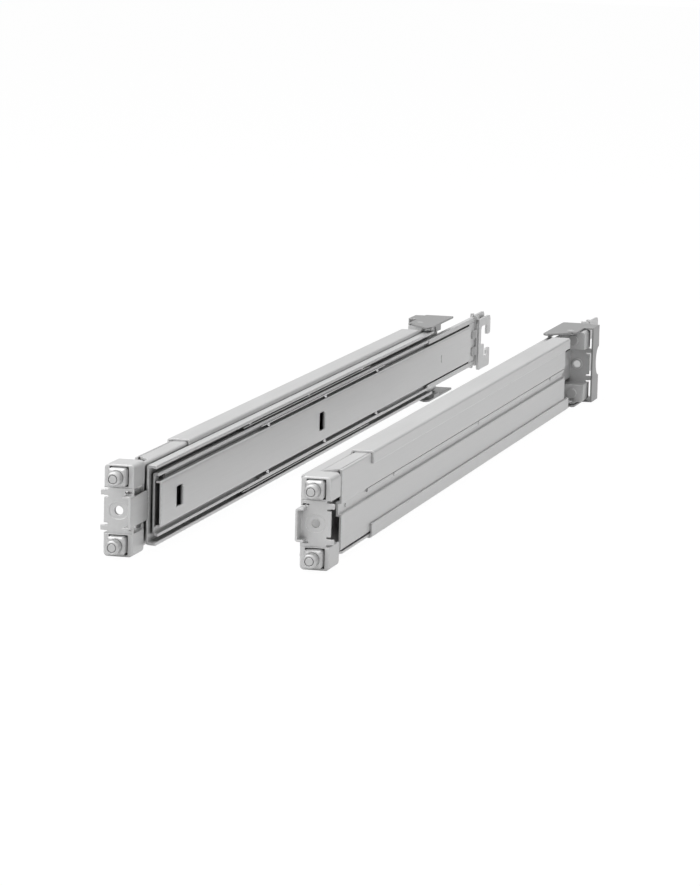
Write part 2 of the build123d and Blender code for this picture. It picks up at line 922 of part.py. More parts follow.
def hook_plate():
    top = hook_upper_top
    bottom = hook_lower_bottom
    upper_tip_front = hook_upper_rear - hook_upper_tip
    lower_tip_front = hook_lower_rear - hook_lower_tip
    outline = Polyline(
        (hook_root_front, top),
        (hook_upper_rear, top),
        (hook_upper_rear, hook_upper_end),
        (upper_tip_front, hook_upper_end),
        (upper_tip_front, top - hook_upper_arm),
        (hook_throat_rear, top - hook_upper_arm),
        (hook_throat_rear, hook_tooth_top),
        (hook_tooth_rear, hook_tooth_top),
        (hook_tooth_rear, bottom + hook_lower_arm),
        (lower_tip_front, bottom + hook_lower_arm),
        (lower_tip_front, hook_lower_end),
        (hook_lower_rear, hook_lower_end),
        (hook_lower_rear, bottom),
        (hook_throat_rear, bottom),
        (hook_root_front, bottom + hook_lower_arm),
        close=True,
    )
    face = make_face(outline)
    face = fillet(nearest_corner(face, hook_upper_rear, top), hook_round)
    face = fillet(nearest_corner(face, hook_lower_rear, bottom), hook_round)
    face = fillet(nearest_corner(face, hook_throat_rear, top - hook_upper_arm), hook_round)
    face = fillet(nearest_corner(face, hook_upper_rear, hook_upper_end), hook_tip_round)
    face = fillet(nearest_corner(face, hook_lower_rear, hook_lower_end), hook_tip_round)
    face = fillet(nearest_corner(face, hook_tooth_rear, hook_tooth_top), hook_tip_round)
    return run_x(face, hook_plate_x, hook_plate_x + hook_plate_gauge)


def nearest_corner(face, y, z):
    return face.vertices().sort_by_distance((y, z, 0))[:1]


def cable_arm_bracket():
    edge = middle_web_x + guide_depth
    section = channel(middle_web_x, edge, middle_half, web_gauge, flange_gauge)
    lip = rect(
        edge - server_gauge, edge, middle_half - guide_lip, middle_half - flange_gauge / 2
    )
    section += lip + mirror(lip, about=Plane.XZ)
    shape = run_y(section, guide_front, guide_rear)
    shape += box(
        middle_web_x, guide_plate_inner_x, guide_rear, guide_rear + guide_plate_gauge,
        -guide_plate_half, guide_plate_half,
    )
    tall_x = middle_web_x + web_gauge / 2
    shape += box(
        tall_x, tall_x + guide_tall_width, guide_rear - guide_plate_gauge,
        guide_rear + guide_plate_gauge, -guide_tall_half, guide_tall_half,
    )
    shape += hook_plate()
    for side in (1, -1):
        shape -= rod_x(guide_rivet_r, slide_web_x, edge, guide_rivet_y, side * guide_rivet_z)
    return shape


def cable_bracket_rivets():
    outer_face = slide_web_x + web_gauge
    inner_face = middle_web_x + web_gauge
    rivets = []
    for side in (1, -1):
        z = side * guide_rivet_z
        rivet = rod_x(guide_rivet_r, slide_web_x, inner_face, guide_rivet_y, z)
        rivet += rod_x(guide_rivet_pad_r, outer_face, middle_web_x, guide_rivet_y, z)
        rivet += rod_x(
            guide_rivet_pad_r, inner_face, inner_face + guide_rivet_head, guide_rivet_y, z
        )
        rivets.append(rivet)
    return Compound(rivets)


def rear_bumpers():
    bumpers = []
    inner = hook_plate_x
    for z in bumper_z:
        bumper = box(
            inner - bumper_width, inner, bumper_front, guide_rear,
            z - bumper_half, z + bumper_half,
        )
        edges = bumper.edges().filter_by(Axis.X).sort_by(Axis.Y)[:2]
        bumpers.append(fillet(edges, bumper_round))
    return Compound(bumpers)


def rail_parts():
    upper_collar = collar()
    lower_collar = mirror(upper_collar, about=Plane.XY)
    return {
        "front_bracket": front_bracket(),
        "front_pins": front_pins(),
        "front_upper_collar": upper_collar,
        "front_lower_collar": lower_collar,
        "bracket_rivets": bracket_rivets(),
        "support_channel": support_channel(),
        "side_plate": side_plate(),
        "side_plate_studs": side_plate_studs(),
        "slide_rivets": slide_rivets(),
        "guide_strip": guide_strip(),
        "outer_member": outer_member(),
        "outer_ball_cage": outer_ball_cage(),
        "outer_balls": outer_balls(),
        "intermediate_member": intermediate_member(),
        "inner_ball_cages": inner_ball_cages(),
        "inner_balls": inner_balls(),
        "inner_member": inner_member(),
        "front_stop": front_stop(),
        "rear_arm": rear_arm(),
        "rear_bracket": rear_bracket(),
        "rear_pins": turned_to_rear(front_pins()),
        "rear_upper_collar": turned_to_rear(upper_collar),
        "rear_lower_collar": turned_to_rear(lower_collar),
        "rear_latch": rear_latch(),
        "latch_pins": latch_pins(),
        "cable_arm_bracket": cable_arm_bracket(),
        "cable_bracket_rivets": cable_bracket_rivets(),
        "rear_bumpers": rear_bumpers(),
    }


def left_rail(shape):
    return Pos(-shift_x, shift_y, shift_z) * shape


def right_rail(shape):
    return Pos(shift_x, shift_y, shift_z) * mirror(shape, about=Plane.YZ)


os.makedirs("parts", exist_ok=True)
for name, shape in rail_parts().items():
    export_step(left_rail(shape), "parts/left_" + name + ".step")
    export_step(right_rail(shape), "parts/right_" + name + ".step")
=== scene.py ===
import json
import math
import bmesh
import bpy
from mathutils import Matrix, Vector

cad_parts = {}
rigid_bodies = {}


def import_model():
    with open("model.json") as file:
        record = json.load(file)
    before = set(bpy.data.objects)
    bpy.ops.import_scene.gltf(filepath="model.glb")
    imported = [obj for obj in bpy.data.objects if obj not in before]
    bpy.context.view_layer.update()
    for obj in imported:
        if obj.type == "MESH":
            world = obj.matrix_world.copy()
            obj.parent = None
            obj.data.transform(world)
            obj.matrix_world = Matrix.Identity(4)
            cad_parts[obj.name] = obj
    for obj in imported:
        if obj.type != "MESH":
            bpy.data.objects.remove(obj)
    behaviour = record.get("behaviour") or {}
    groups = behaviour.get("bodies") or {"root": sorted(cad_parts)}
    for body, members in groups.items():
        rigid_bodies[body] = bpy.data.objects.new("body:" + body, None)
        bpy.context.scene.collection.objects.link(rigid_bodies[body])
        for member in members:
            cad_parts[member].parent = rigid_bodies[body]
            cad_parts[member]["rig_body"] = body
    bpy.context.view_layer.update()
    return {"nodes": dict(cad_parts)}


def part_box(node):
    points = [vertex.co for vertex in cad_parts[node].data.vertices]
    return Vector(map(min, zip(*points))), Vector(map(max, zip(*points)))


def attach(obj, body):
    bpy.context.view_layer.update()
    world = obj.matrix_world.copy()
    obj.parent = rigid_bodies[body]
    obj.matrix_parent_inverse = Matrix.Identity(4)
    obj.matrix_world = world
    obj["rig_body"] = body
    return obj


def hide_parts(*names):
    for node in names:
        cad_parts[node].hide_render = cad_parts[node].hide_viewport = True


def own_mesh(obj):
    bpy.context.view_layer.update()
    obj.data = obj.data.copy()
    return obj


bl_info = {
    "name": "Sliding Server Rail Pair",
    "version": (1, 0, 0),
    "blender": (4, 5, 0),
    "location": "3D View > Sidebar > Server Rails",
    "description": "Finishes a packed pair of telescopic server rails and sets up its stage",
    "category": "Object",
}

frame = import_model()

SIDES = ("left", "right")
IMAGE_WIDTH = 700
IMAGE_HEIGHT = 886
SENSOR = 0.036
FOCAL_PIXELS = 4150.0

# Where a rail's own measure starts: its pin axis, its front face and its middle height
RAIL_AXIS = 0.0467
RAIL_FRONT = -0.363
RAIL_MIDDLE = 0.0222

# The camera's place and axes in the rails' frame, in metres
CAMERA_PLACE = Vector((0.5105, -2.1600, 0.3347))
CAMERA_RIGHT = Vector((0.9691, 0.2457, 0.0247))
CAMERA_DOWN = Vector((0.0597, -0.1362, -0.9889))

# How much each pattern moves the colour of a plated sheet, the level under them, and the painted
# highlight added along its edges
GRAIN_TONE = 0.10
CLOUD_TONE = 0.12
SPECK_TONE = 0.04
BASE_TONE = 0.87
EDGE_HIGHLIGHT_TONE = 0.45

# How much each pattern moves the roughness of a plated sheet
GRAIN_ROUGHNESS = 0.10
CLOUD_ROUGHNESS = 0.14
EDGE_ROUGHNESS = 0.08

# Patterns per metre: the plating's clouds, its specks and the plastic's pebbles
CLOUD_SCALE = 38.0
SPECK_SCALE = 2600.0
PEBBLE_SCALE = 1800.0

# How a pattern's place is scaled across, along and up a rail: a small share draws it out
GRAIN_STRETCH = (1.0, 0.02, 1.0)
CLOUD_STRETCH = (1.0, 0.35, 1.0)
NO_STRETCH = (1.0, 1.0, 1.0)

# How far a normal bends where an edge starts and where it is full, and rays for each point
EDGE_START = 0.01
EDGE_FULL = 0.25
EDGE_SAMPLES = 6

# How open a surface is where a gap is fully dark and where it ends, and rays for each point
GAP_CLOSED = 0.05
GAP_OPEN = 0.6
GAP_SAMPLES = 8

# The moulded plastic: its roughness, and how its pebbles move roughness, colour and relief
PLASTIC_ROUGHNESS = 0.4
PEBBLE_ROUGHNESS = 0.2
PEBBLE_TONE = 0.05
PEBBLE_STRENGTH = 0.3

# Depth of the finest relief on sheet and on plastic, in metres
SHEET_RELIEF = 0.00003
PLASTIC_RELIEF = 0.00005

# Points round a spring's wire, points along each turn, and wire radii between closed turns
WIRE_SIDES = 10
TURN_STEPS = 28
CLOSED_PITCH = 2.2

# Heights on the hook plate, over the rail's middle height, from its top down
HOOK_TOP = 0.0130
HOOK_THROAT_TOP = 0.0082
HOOK_TIP = 0.0016
HOOK_STEP = -0.0034
HOOK_LOWER_TIP = -0.0073
HOOK_THROAT_LOW = -0.0116
HOOK_LOW = -0.0184

# Lengths along the hook plate
HOOK_WIDTH = 0.0088
HOOK_SPINE = 0.0060
HOOK_LOWER_SPINE = 0.0148
HOOK_LOWER_WIDTH = 0.0090
HOOK_LOWER_INSET = 0.0008

# Corner radii of the hook plate: wide bends, upper tip, small bends, throats and foot
HOOK_BEND = 0.0032
HOOK_TIP_ROUND = 0.0016
HOOK_SMALL_BEND = 0.0014
HOOK_THROAT_ROUND = 0.0010
HOOK_FOOT_REAR = 0.0022
HOOK_FOOT_FRONT = 0.0018

# How near the hook plate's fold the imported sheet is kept, before it, behind it and across
FOLD_BEFORE = 0.0017
FOLD_BEHIND = 0.0004
FOLD_ACROSS = 0.0004

# Half height and corners of the stepped root
ROOT_HALF = 0.0138
ROOT_ROUND = 0.0010

# The upper guard plate's heights, end, corner and faces
GUARD_TOP = 0.0154
GUARD_LOW = 0.0095
GUARD_INSET = 0.0020
GUARD_ROUND = 0.0040
GUARD_OUTER_FACE = 0.0098
GUARD_INNER_FACE = 0.0112

# Heights of the two bumpers' middles, their half height, and where they start and end
BUMPER_MIDDLES = (0.0044, -0.0060)
BUMPER_HALF = 0.0026
BUMPER_NOSE_RADIUS = 0.0022
BUMPER_FRONT = 0.0115
BUMPER_REAR = 0.0015

# Width and steps of the bumpers' moulded edges
BUMPER_EDGE = 0.0005
BUMPER_EDGE_STEPS = 3

# The floor's own glow towards the camera, and how much of it covers the plain floor
FLOOR_GLOW = 1.06
FLOOR_COVER = 0.92

# Sine of the height at which the low wall starts to lighten, and where it is white
WALL_LOW = 0.10
WALL_HIGH = 0.26

# Each lamp's name, place, target, size, and the stage value that sets its power
LAMPS = (
    ("key_lamp", (-0.6, -0.2, 1.9), (0, 0, 0), (2.4, 2.4), "key_power"),
    ("front_lamp", (-0.8, -2.2, 1.35), (0, -0.2, 0), (3.2, 2.4), "front_power"),
    ("side_lamp", (2.2, -0.6, 0.7), (0, 0, 0), (1.4, 1.4), "side_power"),
)


class RailFinish(bpy.types.PropertyGroup):
    sheet_color: bpy.props.FloatVectorProperty(
        name="Sheet Colour", description="Colour of the zinc-plated sheets",
        default=(0.70, 0.70, 0.70), subtype="COLOR", size=3, min=0, max=1)
    sheet_roughness: bpy.props.FloatProperty(
        name="Sheet Roughness", description="Roughness of the zinc-plated sheets",
        default=0.36, min=0, max=1)
    bracket_color: bpy.props.FloatVectorProperty(
        name="Bracket Colour", description="Colour of the pressed brackets and latches",
        default=(0.71, 0.71, 0.71), subtype="COLOR", size=3, min=0, max=1)
    latch_color: bpy.props.FloatVectorProperty(
        name="Latch Colour", description="Colour of the darker latch plates",
        default=(0.33, 0.33, 0.33), subtype="COLOR", size=3, min=0, max=1)
    pin_color: bpy.props.FloatVectorProperty(
        name="Pin Colour", description="Colour of the pins, collars and rivets",
        default=(0.60, 0.60, 0.60), subtype="COLOR", size=3, min=0, max=1)
    pin_roughness: bpy.props.FloatProperty(
        name="Pin Roughness", description="Roughness of the pins, collars and rivets",
        default=0.34, min=0, max=1)
    plastic_color: bpy.props.FloatVectorProperty(
        name="Stop Colour", description="Colour of the black stop blocks",
        default=(0.02, 0.02, 0.02), subtype="COLOR", size=3, min=0, max=1)
    bumper_color: bpy.props.FloatVectorProperty(
        name="Bumper Colour", description="Colour of the pale bumpers on the cable-arm bracket",
        default=(0.86, 0.86, 0.86), subtype="COLOR", size=3, min=0, max=1)
    edge_radius: bpy.props.FloatProperty(
        name="Edge Radius", description="Width of the softened edge of a cut sheet",
        default=0.00055, min=0, unit="LENGTH", precision=5)
    gap_reach: bpy.props.FloatProperty(
        name="Gap Reach", description="How near another sheet must be to darken a surface",
        default=0.0055, min=0, unit="LENGTH", precision=4)
    gap_depth: bpy.props.FloatProperty(
        name="Gap Depth", description="How dark the gaps between the sheets are",
        default=0.72, min=0, max=1)
    grain_scale: bpy.props.FloatProperty(
        name="Grain Scale", description="Fineness of the rolled grain, in grains per metre",
        default=900.0, min=1)


class RailHooks(bpy.types.PropertyGroup):
    front: bpy.props.FloatProperty(
        name="Front", description="From the rail's front face to the hook plate",
        default=0.6995, min=0, unit="LENGTH", precision=4)
    rear: bpy.props.FloatProperty(
        name="Rear", description="From the rail's front face to the hooks' backs",
        default=0.7315, min=0, unit="LENGTH", precision=4)
    inner_face: bpy.props.FloatProperty(
        name="Inner Face", description="From the pin axis to the hook plate's outboard face",
        default=0.0132, min=0, unit="LENGTH", precision=4)
    gauge: bpy.props.FloatProperty(
        name="Gauge", description="Thickness of the hook plate",
        default=0.0015, min=0, unit="LENGTH", precision=4)
    root_front: bpy.props.FloatProperty(
        name="Root Front", description="From the rail's front face to the plate's stepped root",
        default=0.6823, min=0, unit="LENGTH", precision=4)
    root_face: bpy.props.FloatProperty(
        name="Root Face", description="From the pin axis to the root's face under the bumpers",
        default=0.0122, min=0, unit="LENGTH", precision=4)
    bumper_proud: bpy.props.FloatProperty(
        name="Bumper Height", description="How far the bumpers stand out of the root",
        default=0.0013, min=0, unit="LENGTH", precision=4)


class RailSprings(bpy.types.PropertyGroup):
    coil_radius: bpy.props.FloatProperty(
        name="Coil Radius", description="Radius of a collar spring at the middle of its wire",
        default=0.0036, min=0, unit="LENGTH", precision=4)
    wire_radius: bpy.props.FloatProperty(
        name="Wire Radius", description="Radius of the spring wire",
        default=0.0004, min=0, unit="LENGTH", precision=5)
    turns: bpy.props.FloatProperty(
        name="Turns", description="Open turns of a collar spring",
        default=5.0, min=1)
    wall_gauge: bpy.props.FloatProperty(
        name="Wall Gauge", description="From a pin's tail to the wall that its spring stands on",
        default=0.0023, min=0, unit="LENGTH", precision=4)


class RailStage(bpy.types.PropertyGroup):
    floor_size: bpy.props.FloatProperty(
        name="Floor Size", description="Side of the square floor",
        default=12.0, min=1, unit="LENGTH")
    floor_color: bpy.props.FloatVectorProperty(
        name="Floor Colour", description="Colour of the floor",
        default=(0.75, 0.75, 0.75), subtype="COLOR", size=3, min=0, max=1)
    world_strength: bpy.props.FloatProperty(
        name="World Strength", description="Level of the even light from all round",
        default=0.21, min=0)
    wall_strength: bpy.props.FloatProperty(
        name="Wall Strength", description="Level of the low wall that the sheets reflect",
        default=0.35, min=0)
    key_power: bpy.props.FloatProperty(
        name="Key Power", description="Power of the large lamp overhead",
        default=30.0, min=0, unit="POWER")
    front_power: bpy.props.FloatProperty(
        name="Front Power", description="Power of the lamp in front",
        default=16.0, min=0, unit="POWER")
    side_power: bpy.props.FloatProperty(
        name="Side Power", description="Power of the lamp on the camera's side",
        default=0.6, min=0, unit="POWER")


def new_group(name, inputs, outputs):
    """An empty shader node group with these named sockets."""
    group = bpy.data.node_groups.new(name, "ShaderNodeTree")
    for label, kind, value in inputs:
        socket = group.interface.new_socket(label, in_out="INPUT", socket_type=kind)
        socket.default_value = value
    for label, kind in outputs:
        group.interface.new_socket(label, in_out="OUTPUT", socket_type=kind)
    start = group.nodes.new("NodeGroupInput")
    end = group.nodes.new("NodeGroupOutput")
    return group, start, end


def math_node(tree, operation, first, second):
    """A math node whose two inputs are sockets or plain numbers."""
    node = tree.nodes.new("ShaderNodeMath")
    node.operation = operation
    for socket, value in zip(node.inputs, (first, second)):
        if isinstance(value, bpy.types.NodeSocket):
            tree.links.new(value, socket)
        else:
            socket.default_value = value
    return node.outputs[0]


def multiplied_color(tree, first, second):
    """The product of two colour sockets."""
    node = tree.nodes.new("ShaderNodeMix")
    node.data_type = "RGBA"
    node.blend_type = "MULTIPLY"
    node.inputs["Factor"].default_value = 1.0
    tree.links.new(first, node.inputs["A"])
    tree.links.new(second, node.inputs["B"])
    return node.outputs["Result"]


def noise_node(tree, place, scale, detail, roughness=0.5):
    """A noise pattern over this place."""
    node = tree.nodes.new("ShaderNodeTexNoise")
    node.inputs["Detail"].default_value = detail
    node.inputs["Roughness"].default_value = roughness
    tree.links.new(place, node.inputs["Vector"])
    if isinstance(scale, bpy.types.NodeSocket):
        tree.links.new(scale, node.inputs["Scale"])
    else:
        node.inputs["Scale"].default_value = scale
    return node.outputs["Fac"]


def stretched_place(tree, stretch):
    """The surface's own place, scaled by this stretch."""
    place = tree.nodes.new("ShaderNodeTexCoord")
    mapping = tree.nodes.new("ShaderNodeMapping")
    mapping.inputs["Scale"].default_value = stretch
    tree.links.new(place.outputs["Object"], mapping.inputs["Vector"])
    return mapping.outputs["Vector"]


def make_edge_group():
    """A mask that is 1 on a cut edge and 0 on the flat sheet, with the softened normal."""
    group, start, end = new_group(
        "Softened Edge",
        [("Radius", "NodeSocketFloat", 0.0003)],
        [("Mask", "NodeSocketFloat"), ("Normal", "NodeSocketVector")])
    bevel = group.nodes.new("ShaderNodeBevel")
    bevel.samples = EDGE_SAMPLES
    group.links.new(start.outputs["Radius"], bevel.inputs["Radius"])
    geometry = group.nodes.new("ShaderNodeNewGeometry")
    compare = group.nodes.new("ShaderNodeVectorMath")
    compare.operation = "DOT_PRODUCT"
    group.links.new(bevel.outputs["Normal"], compare.inputs[0])
    group.links.new(geometry.outputs["Normal"], compare.inputs[1])
    bend = math_node(group, "SUBTRACT", 1.0, compare.outputs["Value"])
    mask = group.nodes.new("ShaderNodeMapRange")
    mask.inputs["From Min"].default_value = EDGE_START
    mask.inputs["From Max"].default_value = EDGE_FULL
    group.links.new(bend, mask.inputs["Value"])
    group.links.new(mask.outputs["Result"], end.inputs["Mask"])
    group.links.new(bevel.outputs["Normal"], end.inputs["Normal"])
    return group


def make_grain_group():
    """Rolled and plated sheet: fine grain along the rail, cloudy plating, small specks and a
    painted highlight along the edges.
    """
    group, start, end = new_group(
        "Rolled Zinc",
        [("Color", "NodeSocketColor", (0.6, 0.6, 0.6, 1.0)),
         ("Roughness", "NodeSocketFloat", 0.35),
         ("Scale", "NodeSocketFloat", 900.0),
         ("Edge Mask", "NodeSocketFloat", 0.0)],
        [("Color", "NodeSocketColor"), ("Roughness", "NodeSocketFloat"),
         ("Height", "NodeSocketFloat")])
    grain = noise_node(group, stretched_place(group, GRAIN_STRETCH), start.outputs["Scale"],
                       detail=3)
    cloud = noise_node(group, stretched_place(group, CLOUD_STRETCH), CLOUD_SCALE,
                       detail=4, roughness=0.6)
    speck = noise_node(group, stretched_place(group, NO_STRETCH), SPECK_SCALE, detail=2)
    tone = math_node(group, "ADD", math_node(group, "MULTIPLY", grain, GRAIN_TONE),
                     math_node(group, "MULTIPLY", cloud, CLOUD_TONE))
    tone = math_node(group, "ADD", tone, math_node(group, "MULTIPLY", speck, SPECK_TONE))
    tone = math_node(group, "ADD", tone, BASE_TONE)
    # Painted highlight: the edge mask lightens the colour along every edge
    highlighted_tone = math_node(group, "ADD", tone,
                       math_node(group, "MULTIPLY", start.outputs["Edge Mask"], EDGE_HIGHLIGHT_TONE))
    rough = start.outputs["Roughness"]
    for pattern, share in ((cloud, CLOUD_ROUGHNESS), (grain, GRAIN_ROUGHNESS)):
        swing = math_node(group, "MULTIPLY", math_node(group, "SUBTRACT", pattern, 0.5), share)
        rough = math_node(group, "ADD", rough, swing)
    rough = math_node(group, "SUBTRACT", rough,
                      math_node(group, "MULTIPLY", start.outputs["Edge Mask"], EDGE_ROUGHNESS))
    height = math_node(group, "ADD", grain, math_node(group, "MULTIPLY", speck, 0.5))
    group.links.new(multiplied_color(group, start.outputs["Color"], highlighted_tone),
                    end.inputs["Color"])
    group.links.new(rough, end.inputs["Roughness"])
    group.links.new(height, end.inputs["Height"])
    return group


def make_gap_group():
    """A mask that is 1 on open faces and falls inside the narrow gaps between the sheets."""
    group, start, end = new_group(
        "Gap Shade",
        [("Reach", "NodeSocketFloat", 0.007), ("Depth", "NodeSocketFloat", 0.9)],
        [("Mask", "NodeSocketFloat")])
    near = group.nodes.new("ShaderNodeAmbientOcclusion")
    near.samples = GAP_SAMPLES
    group.links.new(start.outputs["Reach"], near.inputs["Distance"])
    openness = group.nodes.new("ShaderNodeMapRange")
    openness.interpolation_type = "SMOOTHSTEP"
    openness.inputs["From Min"].default_value = GAP_CLOSED
    openness.inputs["From Max"].default_value = GAP_OPEN
    group.links.new(near.outputs["AO"], openness.inputs["Value"])
    closed = math_node(group, "SUBTRACT", 1.0, openness.outputs["Result"])
    dark = math_node(group, "MULTIPLY", closed, start.outputs["Depth"])
    group.links.new(math_node(group, "SUBTRACT", 1.0, dark), end.inputs["Mask"])
    return group


def gap_shaded(tree, color):
    """This colour socket, darkened where the surface lies in a narrow gap."""
    finish = bpy.context.scene.rail_finish
    gap = place_group(tree, shared_group("Gap Shade", make_gap_group))
    gap.inputs["Reach"].default_value = finish.gap_reach
    gap.inputs["Depth"].default_value = finish.gap_depth
    return multiplied_color(tree, color, gap.outputs["Mask"])


def shared_group(name, maker):
    """The node group of this name, made the first time that it is asked for."""
    return bpy.data.node_groups.get(name) or maker()


def place_group(tree, group):
    """A node that stands for this group in a material."""
    node = tree.nodes.new("ShaderNodeGroup")
    node.node_tree = group
    return node


def add_relief(tree, height, normal, strength, depth):
    """Fine relief on a material, over its softened edges."""
    bump = tree.nodes.new("ShaderNodeBump")
    bump.inputs["Strength"].default_value = strength
    bump.inputs["Distance"].default_value = depth
    tree.links.new(height, bump.inputs["Height"])
    tree.links.new(normal, bump.inputs["Normal"])
    tree.links.new(bump.outputs["Normal"], tree.nodes["Principled BSDF"].inputs["Normal"])


def plated_material(name, color, roughness, metallic, relief):
    """Zinc- or nickel-plated steel with a softened edge that carries a painted highlight, and
    rolled grain.
    """
    finish = bpy.context.scene.rail_finish
    material = bpy.data.materials.new(name)
    material.use_nodes = True
    tree = material.node_tree
    shader = tree.nodes["Principled BSDF"]
    shader.inputs["Metallic"].default_value = metallic
    edge = place_group(tree, shared_group("Softened Edge", make_edge_group))
    edge.inputs["Radius"].default_value = finish.edge_radius
    grain = place_group(tree, shared_group("Rolled Zinc", make_grain_group))
    grain.inputs["Color"].default_value = (*color, 1.0)
    grain.inputs["Roughness"].default_value = roughness
    grain.inputs["Scale"].default_value = finish.grain_scale
    tree.links.new(edge.outputs["Mask"], grain.inputs["Edge Mask"])
    tree.links.new(gap_shaded(tree, grain.outputs["Color"]), shader.inputs["Base Color"])
    tree.links.new(grain.outputs["Roughness"], shader.inputs["Roughness"])
    add_relief(tree, grain.outputs["Height"], edge.outputs["Normal"], relief, SHEET_RELIEF)
    return material


def plastic_material(name, color):
    """Moulded plastic with a fine matt texture."""
    finish = bpy.context.scene.rail_finish
    material = bpy.data.materials.new(name)
    material.use_nodes = True
    tree = material.node_tree
    shader = tree.nodes["Principled BSDF"]
    shader.inputs["Metallic"].default_value = 0.0
    edge = place_group(tree, shared_group("Softened Edge", make_edge_group))
    edge.inputs["Radius"].default_value = finish.edge_radius
    pebble = noise_node(tree, stretched_place(tree, NO_STRETCH), PEBBLE_SCALE, detail=3)
    shade = tree.nodes.new("ShaderNodeMix")
    shade.data_type = "RGBA"
    shade.inputs["A"].default_value = (*color, 1.0)
    shade.inputs["B"].default_value = (*[part + PEBBLE_TONE for part in color], 1.0)
    tree.links.new(pebble, shade.inputs["Factor"])
    tree.links.new(gap_shaded(tree, shade.outputs["Result"]), shader.inputs["Base Color"])
    swing = math_node(tree, "MULTIPLY", pebble, PEBBLE_ROUGHNESS)
    tree.links.new(math_node(tree, "ADD", swing, PLASTIC_ROUGHNESS), shader.inputs["Roughness"])
    add_relief(tree, pebble, edge.outputs["Normal"], PEBBLE_STRENGTH, PLASTIC_RELIEF)
    return material


def sheet_material():
    finish = bpy.context.scene.rail_finish
    return bpy.data.materials.get("zinc_sheet") or plated_material(
        "zinc_sheet", finish.sheet_color, finish.sheet_roughness,
        metallic=0.35, relief=0.25)


def bracket_material():
    finish = bpy.context.scene.rail_finish
    return bpy.data.materials.get("zinc_bracket") or plated_material(
        "zinc_bracket", finish.bracket_color, finish.sheet_roughness + 0.04,
        metallic=0.35, relief=0.2)


def latch_material():
    finish = bpy.context.scene.rail_finish
    return bpy.data.materials.get("zinc_latch") or plated_material(
        "zinc_latch", finish.latch_color, finish.sheet_roughness + 0.04,
        metallic=0.5, relief=0.2)


def pin_material():
    finish = bpy.context.scene.rail_finish
    return bpy.data.materials.get("nickel_pin") or plated_material(
        "nickel_pin", finish.pin_color, finish.pin_roughness, metallic=0.6, relief=0.1)


def ball_material():
    return bpy.data.materials.get("ball_steel") or plated_material(
        "ball_steel", color=(0.8, 0.8, 0.82), roughness=0.12, metallic=1.0, relief=0.02)


def stop_material():
    finish = bpy.context.scene.rail_finish
    return bpy.data.materials.get("black_plastic") or plastic_material(
        "black_plastic", finish.plastic_color)


def bumper_material():
    finish = bpy.context.scene.rail_finish
    return bpy.data.materials.get("pale_plastic") or plastic_material(
        "pale_plastic", finish.bumper_color)


def dress(names, material):
    """Gives the CAD nodes of both rails this material."""
    for side in SIDES:
        for name in names:
            mesh = frame["nodes"][side + "_" + name].data
            mesh.materials.clear()
            mesh.materials.append(material)


class FinishSlides(bpy.types.Operator):
    """Finish the three telescoping members and their ball cages"""
    bl_idname = "rails.finish_slides"
    bl_label = "Finish Slides"

    def execute(self, context):
        dress(("outer_member", "intermediate_member", "inner_member",
               "outer_ball_cage", "inner_ball_cages"), sheet_material())
        return {"FINISHED"}


class FinishSupports(bpy.types.Operator):
    """Finish the support channel, its ribbed side plate, the guide strip and the rear arm"""
    bl_idname = "rails.finish_supports"
    bl_label = "Finish Supports"

    def execute(self, context):
        dress(("support_channel", "side_plate", "guide_strip", "rear_arm"), sheet_material())
        return {"FINISHED"}


class FinishBrackets(bpy.types.Operator):
    """Finish the pressed brackets, the latch and the cable-arm bracket"""
    bl_idname = "rails.finish_brackets"
    bl_label = "Finish Brackets"

    def execute(self, context):
        dress(("front_bracket", "rear_bracket", "cable_arm_bracket"), bracket_material())
        dress(("rear_latch",), latch_material())
        return {"FINISHED"}


class FinishPins(bpy.types.Operator):
    """Finish the pins, the sprung collars and every rivet"""
    bl_idname = "rails.finish_pins"
    bl_label = "Finish Pins and Rivets"

    def execute(self, context):
        dress(("front_pins", "rear_pins", "latch_pins", "bracket_rivets", "side_plate_studs",
               "slide_rivets", "cable_bracket_rivets", "front_upper_collar",
               "front_lower_collar", "rear_upper_collar", "rear_lower_collar"), pin_material())
        return {"FINISHED"}


def tube_mesh(name, path, radius):
    """A round wire along these points, with closed ends."""
    mesh = bpy.data.meshes.new(name)
    build = bmesh.new()
    rings = []
    side = Vector((1, 0, 0))
    for index, point in enumerate(path):
        ahead = path[min(index + 1, len(path) - 1)] - path[max(index - 1, 0)]
        ahead.normalize()
        side = (side - ahead * side.dot(ahead)).normalized()
        up = ahead.cross(side)
        turn = [2 * math.pi * step / WIRE_SIDES for step in range(WIRE_SIDES)]
        rings.append([build.verts.new(point + side * radius * math.cos(angle)
                                      + up * radius * math.sin(angle)) for angle in turn])
    for first, second in zip(rings, rings[1:]):
        for step in range(WIRE_SIDES):
            after = (step + 1) % WIRE_SIDES
            build.faces.new((first[step], first[after], second[after], second[step]))
    build.faces.new(rings[0][::-1])
    build.faces.new(rings[-1])
    bmesh.ops.recalc_face_normals(build, faces=build.faces)
    for face in build.faces:
        face.smooth = len(face.verts) == 4
    build.to_mesh(mesh)
    build.free()
    return mesh


def coil_points(centre, start, end, springs):
    """The wire's middle line, with one closed turn at each end of the coil."""
    shut = CLOSED_PITCH * springs.wire_radius
    first = start + math.copysign(springs.wire_radius, end - start)
    last = end - math.copysign(springs.wire_radius, end - start)
    lead = math.copysign(shut, last - first)
    stations = ((0.0, first), (1.0, first + lead), (1.0 + springs.turns, last - lead),
                (2.0 + springs.turns, last))
    points = []
    steps = round((2.0 + springs.turns) * TURN_STEPS)
    for step in range(steps + 1):
        turn = stations[-1][0] * step / steps
        for (low, place), (high, after) in zip(stations, stations[1:]):
            if low <= turn <= high:
                along = place + (after - place) * (turn - low) / (high - low)
        angle = 2 * math.pi * turn
        points.append(Vector((centre.x + springs.coil_radius * math.cos(angle), along,
                              centre.z + springs.coil_radius * math.sin(angle))))
    return points


def add_object(mesh):
    """An object in the scene with this mesh and its name."""
    item = bpy.data.objects.new(mesh.name, mesh)
    bpy.context.scene.collection.objects.link(item)
    return item


